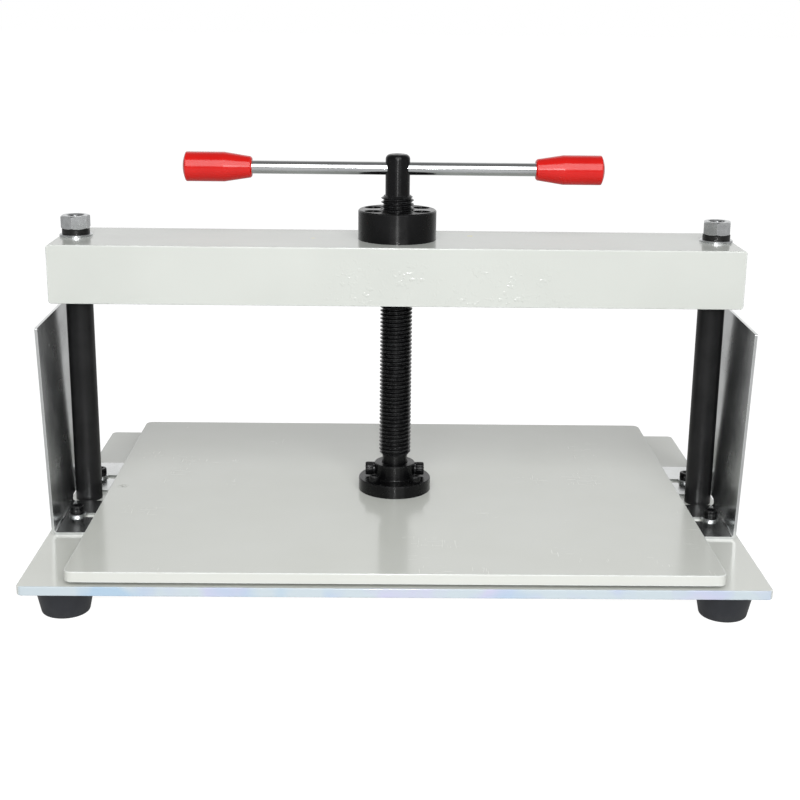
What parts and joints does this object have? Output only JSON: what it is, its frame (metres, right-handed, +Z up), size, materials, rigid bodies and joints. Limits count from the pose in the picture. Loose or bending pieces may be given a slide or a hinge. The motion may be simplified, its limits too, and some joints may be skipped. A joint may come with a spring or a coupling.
{
  "type": "tabletop screw press",
  "caption": "Bench screw press: a threaded spindle with a sliding tommy bar raises and lowers a flat platen under a crossbeam on pillars, over a base plate on rubber feet.",
  "frame": {"origin": "on the bench, at the middle of the footprint, below the spindle's axis", "axes": "+Z up along the spindle, +X along the crossbeam to the operator's right, -Y towards the operator"},
  "size_m": [0.5072, 0.347, 0.2943],
  "materials": {
    "grey_enamel": "semi-gloss light grey enamel",
    "black_oxide_steel": "black oxide, satin",
    "bright_steel_sheet": "bright rolled sheet",
    "zinc_plate": "bright zinc plate",
    "spring_steel": "dark tempered, satin",
    "polished_bar": "polished",
    "red_plastic": "gloss red",
    "black_rubber": "matt black",
    "bronze": "plain turned"
  },
  "bodies": {
    "frame": {"base_plate": "grey_enamel", "crossbeam": "grey_enamel", "pillar_left": "black_oxide_steel", "pillar_right": "black_oxide_steel", "screw_nut": "black_oxide_steel", "screw_nut_bolts": "black_oxide_steel", "bracket_screws": "black_oxide_steel", "side_bracket_left": "bright_steel_sheet", "side_bracket_right": "bright_steel_sheet", "hex_nut_left": "zinc_plate", "hex_nut_right": "zinc_plate", "flat_washer_left": "zinc_plate", "flat_washer_right": "zinc_plate", "pillar_bolts": "zinc_plate", "pillar_bolt_washers": "zinc_plate", "foot_washers": "zinc_plate", "foot_screws": "zinc_plate", "bracket_washers": "zinc_plate", "spring_washer_left": "spring_steel", "spring_washer_right": "spring_steel", "rubber_foot_front_left": "black_rubber", "rubber_foot_front_right": "black_rubber", "rubber_foot_rear_left": "black_rubber", "rubber_foot_rear_right": "black_rubber"},
    "platen": {"press_platen": "grey_enamel", "spindle_flange": "black_oxide_steel", "flange_bolts": "black_oxide_steel", "retaining_screw_left": "black_oxide_steel", "retaining_screw_right": "black_oxide_steel", "thrust_disc": "bronze"},
    "spindle": {"spindle": "black_oxide_steel"},
    "handle": {"handle_bar": "polished_bar", "handle_grip_left": "red_plastic", "handle_grip_right": "red_plastic"}
  },
  "joints": [
    {"name": "platen_travel", "type": "slide", "parent": "frame", "child": "platen", "axis": [0, 0, 1], "range_m": [-0.00256, 0.1261]},
    {"name": "spindle_turn", "type": "hinge", "parent": "platen", "child": "spindle", "pos_m": [0, 0, 0.16], "axis": [0, 0, 1], "range_deg": [-306, 15120]},
    {"name": "handle_slide", "type": "slide", "parent": "spindle", "child": "handle", "axis": [1, 0, 0], "range_m": [-0.0911, 0.0965]}
  ],
  "couplings": [
    {"joint": "platen_travel", "follows": "spindle_turn", "m_per_rad": 0.00047746}
  ]
}
